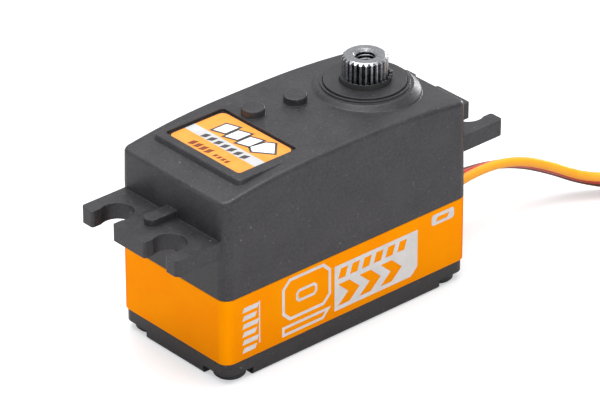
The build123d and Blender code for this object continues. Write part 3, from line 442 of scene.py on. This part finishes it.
# ---- lead ----
def ribbon_points(route, place):
    """One wire's control points: the middle wire's, moved along the twisted ribbon's width."""
    points = []
    for i, (x, y, z, twist, pitch) in enumerate(route):
        before, after = route[max(i - 1, 0)], route[min(i + 1, len(route) - 1)]
        heading = math.atan2(after[1] - before[1], after[0] - before[0])
        t = math.radians(twist)
        side = Vector((math.sin(heading) * math.cos(t), -math.cos(heading) * math.cos(t), math.sin(t)))
        points.append(Vector((x, y, z)) + side * place * pitch)
    return points


def coil_centre():
    """The lead's end runs straight into the outermost turn, which goes round to the left."""
    c, s = math.cos(math.radians(COIL_HEADING)), math.sin(math.radians(COIL_HEADING))
    x, y = LEAD_END
    return Vector((x + COIL_RUN_IN * c - COIL_R * s, y + COIL_RUN_IN * s + COIL_R * c, 0))


def polar(angle, radius, z):
    """A point round the coil's middle, millimetres and degrees."""
    a = math.radians(angle)
    return coil_centre() + Vector((radius * math.cos(a), radius * math.sin(a), z))


def coil_turns():
    """Control points of the ribbon on edge, turn inside turn, a little uneven as wound by hand."""
    out_of_round = 1 / math.cos(math.radians(COIL_STEP / 2))
    turns = []
    for i in range(COIL_POINTS):
        gone = COIL_STEP * (i + 0.5)
        angle = COIL_HEADING - 90 + gone
        wobble = 0.06 * math.sin(math.radians(2 * angle + 0.35 * gone))
        radius = COIL_R - TURN_PITCH * gone / 360 + wobble
        from_tie = (angle - TIE_ANGLE + 180) % 360 - 180
        z = LYING_Z + TIE_LIFT * math.exp(-(from_tie / 26) ** 2)
        turns.append((*polar(angle, radius * out_of_round, z), 90, WIRE_PITCH))
    return turns


def whole_route():
    lead = LEAD_ROUTE + [(*LEAD_END, LYING_Z, 90, WIRE_PITCH)]
    climb = [(*polar(angle, radius, z), twist, WIRE_PITCH) for angle, radius, z, twist in COIL_END]
    middle = coil_centre()
    over = [(middle.x + x, middle.y + y, z, twist, pitch) for x, y, z, twist, pitch in OVER_TURNS]
    return lead + coil_turns() + climb + over


def add_wire(name, place, material, replaced):
    curve = bpy.data.curves.new(name, "CURVE")
    curve.dimensions = "3D"
    curve.bevel_depth = WIRE_R * MM
    curve.bevel_resolution = 5
    curve.use_fill_caps = True
    curve.resolution_u = 10
    points = ribbon_points(whole_route(), place)
    spline = curve.splines.new("NURBS")
    spline.points.add(len(points) - 1)
    for target, point in zip(spline.points, points):
        target.co = (*(point * MM), 1)
    spline.order_u = 3
    spline.use_endpoint_u = True
    wire = bpy.data.objects.new(name, curve)
    curve.materials.append(MATERIALS[material])
    bpy.context.scene.collection.objects.link(wire)
    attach(wire, "case")
    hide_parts(*replaced)
    return wire, tuple(points[0] * MM)


def add_lead(tie):
    plan = [
        ("lead_signal", 1, "wire_yellow", ["signal_wire", "lead_coil"]),
        ("lead_power", 0, "wire_red", ["power_wire"]),
        ("lead_ground", -1, "wire_brown", ["ground_wire"]),
    ]
    for name, place, material, replaced in plan:
        wire, start = add_wire(name, place, material, replaced)


# ---- prints: generic bars, arrows and outlines as thin layers of ink ----
def chamfered(left, low, right, high, cut):
    return [(left + cut, low), (right - cut, low), (right, low + cut), (right, high - cut),
            (right - cut, high), (left + cut, high), (left, high - cut), (left, low + cut)]


def slanted(left, low, right, high, lean):
    """A bar whose top is shifted by lean."""
    return [(left, low), (right, low), (right + lean, high), (left + lean, high)]


def arrow(left, low, width, high, lean):
    """A chevron that points to the right."""
    middle = (low + high) / 2
    return [[(left, low), (left + width, low), (left + width + lean, middle), (left + lean, middle)],
            [(left + lean, middle), (left + width + lean, middle), (left + width, high), (left, high)]]


def moved_in(points, distance):
    """The outline of a counterclockwise polygon, moved inwards."""
    result = []
    for before, here, after in zip(points[-1:] + points[:-1], points, points[1:] + points[:1]):
        first = Vector((before[1] - here[1], here[0] - before[0])).normalized()
        second = Vector((here[1] - after[1], after[0] - here[0])).normalized()
        step = (first + second) * (distance / (1 + first.dot(second)))
        result.append((here[0] + step.x, here[1] + step.y))
    return result


def outlined(points, width):
    """A line of that width just inside a polygon, as four-sided pieces."""
    inner = moved_in(points, width)
    n = len(points)
    return [[points[i], points[(i + 1) % n], inner[(i + 1) % n], inner[i]] for i in range(n)]


def on_side(a, b, out):
    return Vector((a, SIDE_Y - out, b)) * MM


def on_label(a, b, out):
    return Vector((a, b, LABEL_TOP + out)) * MM


def add_ink(name, shapes, place, low, high, material):
    """Flat shapes as solid layers from height low to high over the surface they are printed on."""
    mesh = bpy.data.meshes.new(name)
    b = bmesh.new()
    for shape in shapes:
        below = [b.verts.new(place(x, y, low)) for x, y in shape]
        above = [b.verts.new(place(x, y, high)) for x, y in shape]
        b.faces.new(below)
        b.faces.new(above)
        for i in range(len(shape)):
            k = (i + 1) % len(shape)
            b.faces.new([below[i], below[k], above[k], above[i]])
    bmesh.ops.recalc_face_normals(b, faces=b.faces)
    b.to_mesh(mesh)
    b.free()
    return add_piece(name, mesh, material, "case")


def add_piece(name, mesh, material, body):
    mesh.materials.append(MATERIALS[material])
    piece = bpy.data.objects.new(name, mesh)
    bpy.context.scene.collection.objects.link(piece)
    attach(piece, body)
    return piece


def add_side_print():
    plate = [[(-2.5, 3.9), (10.5, 3.9), (11.6, 5.0), (11.6, 10.35), (-2.5, 10.35)]]
    badge = outlined(chamfered(-11.2, 5.6, -3.1, 11.6, 1.2), 0.42)
    badge += outlined(chamfered(-8.9, 7.7, -5.4, 9.5, 0.45), 0.38)
    badge += outlined([(-11.2, 3.6), (-4.4, 3.6), (-3.1, 5.0), (-11.2, 5.0)], 0.38)
    tag = [chamfered(14.0, 9.85, 17.9, 11.4, 0.3)]
    rungs = [slanted(-17.7, 3.9 + 1.15 * i, -15.6 + 0.35 * (i % 2), 4.55 + 1.15 * i, 0.3)
             for i in range(6)]
    rungs += [slanted(-15.0, 4.4, -14.8, 10.4, 0.0)]
    add_ink("side_print", plate + badge + tag + rungs, on_side, -0.01, 0.015, "print_grey")
    bars = [slanted(-1.9 + 2.0 * i, 8.35, -0.7 + 2.0 * i, 9.75, 0.45) for i in range(6)]
    arrows = [piece for i in range(3) for piece in arrow(-1.9 + 3.6 * i, 4.5, 1.9, 7.6, 1.7)]
    slots = [slanted(14.7, 10.3, 16.7, 10.9, 0.35)]
    add_ink("side_print_gaps", bars + arrows + slots, on_side, 0.0, 0.022, "orange_anodised")


def add_label_print():
    """The stripe and marks run along Y, and read from the output shaft's end."""
    add_ink("label_stripe", [slanted(-12.15, -6.3, -10.5, 7.0, 0)], on_label, -0.01, 0.012, "label_grey")
    ticks = [slanted(-11.8, 3.4 - 1.22 * i, -10.85, 4.15 - 1.22 * i, -0.35) for i in range(7)]
    blocks = [slanted(-9.3, 2.6 - 2.25 * i, -7.1, 4.3 - 2.25 * i, -0.55) for i in range(3)]
    head = [[(-9.9, -3.1), (-8.2, -5.3), (-6.5, -3.5), (-7.1, -2.6), (-9.3, -2.1)]]
    rims = [moved_in(shape, -0.3) for shape in blocks + head]
    add_ink("label_ticks", ticks + rims, on_label, 0.0, 0.02, "label_ink")
    add_ink("label_blocks", blocks + head, on_label, 0.0, 0.03, "label_white")
    bold = [slanted(-14.15, 3.15 - 1.0 * i, -13.1, 3.85 - 1.0 * i, -0.3) for i in range(4)]
    small = [slanted(-14.1, -1.1 - 0.72 * i, -13.45, -0.65 - 0.72 * i, -0.2) for i in range(4)]
    add_ink("label_code", bold + small, on_label, 0.0, 0.018, "label_rust")


# ---- small pieces ----
def tie_band(b, to_tie):
    """A closed strap round the coil's turns."""
    rings = []
    for inset in (0.0, TIE_THICK):
        loop = chamfered(BAND_R[0] + inset, BAND_Z[0] + inset, BAND_R[1] - inset, BAND_Z[1] - inset,
                         BAND_CORNER - 0.3 * inset)
        rings.append([[b.verts.new(to_tie(r, side, z)) for r, z in loop]
                      for side in (-TIE_WIDTH / 2, TIE_WIDTH / 2)])
    outer, inner = rings
    strips = ((outer[0], outer[1]), (outer[1], inner[1]), (inner[1], inner[0]), (inner[0], outer[0]))
    corners = len(outer[0])
    for i in range(corners):
        k = (i + 1) % corners
        for first, second in strips:
            b.faces.new([first[i], first[k], second[k], second[i]])


def tie_tail(b, to_tie, lean):
    """One flat end, twisted along its length, outwards or inwards over the turns."""
    last = None
    for step in range(TAIL_STEPS + 1):
        t = step / TAIL_STEPS
        turn = math.radians(TAIL_TURN * t)
        c, s = math.cos(turn), math.sin(turn)
        middle = (TAIL_START_R + TAIL_LENGTH * t * lean, TAIL_SWAY * s, TAIL_Z - TAIL_DROP * t)
        half = TAIL_HALF_WIDTH - TAIL_TAPER * t
        section = []
        for p, q in ((-1, -1), (1, -1), (1, 1), (-1, 1)):
            side = c * half * p - s * TAIL_HALF_THICK * q
            up = 0.3 * s * half * p + c * TAIL_HALF_THICK * q
            section.append(b.verts.new(to_tie(middle[0], middle[1] + side, middle[2] + up)))
        if last:
            for i in range(4):
                k = (i + 1) % 4
                b.faces.new([last[i], last[k], section[k], section[i]])
        else:
            b.faces.new(section)
        last = section
    b.faces.new(last)


def add_tie():
    """A paper twist tie: a band round the coil's turns and its twisted ends on top."""
    angle = math.radians(TIE_ANGLE)
    out = Vector((math.cos(angle), math.sin(angle), 0))
    along = Vector((-math.sin(angle), math.cos(angle), 0))
    middle = coil_centre()

    def to_tie(r, side, z):
        return (middle + out * r + along * side + Vector((0, 0, z))) * MM

    b = bmesh.new()
    tie_band(b, to_tie)
    for lean in (-1, 1):
        tie_tail(b, to_tie, lean)
    bmesh.ops.recalc_face_normals(b, faces=b.faces)
    mesh = bpy.data.meshes.new("twist_tie")
    b.to_mesh(mesh)
    b.free()
    tie = add_piece("twist_tie", mesh, "tie_paper", "case")
    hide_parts("lead_tie")
    return tie


def add_grease():
    """Beads of dark grease squeezed out at the foot of the spline."""
    b = bmesh.new()
    for angle, radius, z, size in GREASE_BEADS:
        a = math.radians(angle)
        centre = Vector((SHAFT_X + radius * math.cos(a), radius * math.sin(a), z))
        bead = bmesh.ops.create_icosphere(b, subdivisions=3, radius=1)["verts"]
        for v in bead:
            lump = 1 + 0.3 * noise.noise(v.co * 1.7 + centre)
            v.co = (centre + Vector((v.co.x, v.co.y, 0.7 * v.co.z)) * size * lump) * MM
    mesh = bpy.data.meshes.new("spline_grease")
    b.to_mesh(mesh)
    b.free()
    for face in mesh.polygons:
        face.use_smooth = True
    add_piece("spline_grease", mesh, "grease", "output")


def add_floor():
    h = FLOOR_HALF
    mesh = bpy.data.meshes.new("floor")
    mesh.from_pydata([(-h, -h, 0), (h, -h, 0), (h, h, 0), (-h, h, 0)], [], [(0, 1, 2, 3)])
    mesh.materials.append(floor_material())
    floor = bpy.data.objects.new("floor", mesh)
    bpy.context.scene.collection.objects.link(floor)


add_camera()
add_lead(add_tie())
add_side_print()
add_label_print()
add_grease()
dress_frame()
add_floor()
add_world(WORLD_STRENGTH)
for light in AREA_LIGHTS:
    add_area_light(*light)
bpy.context.scene.view_settings.view_transform = "Standard"
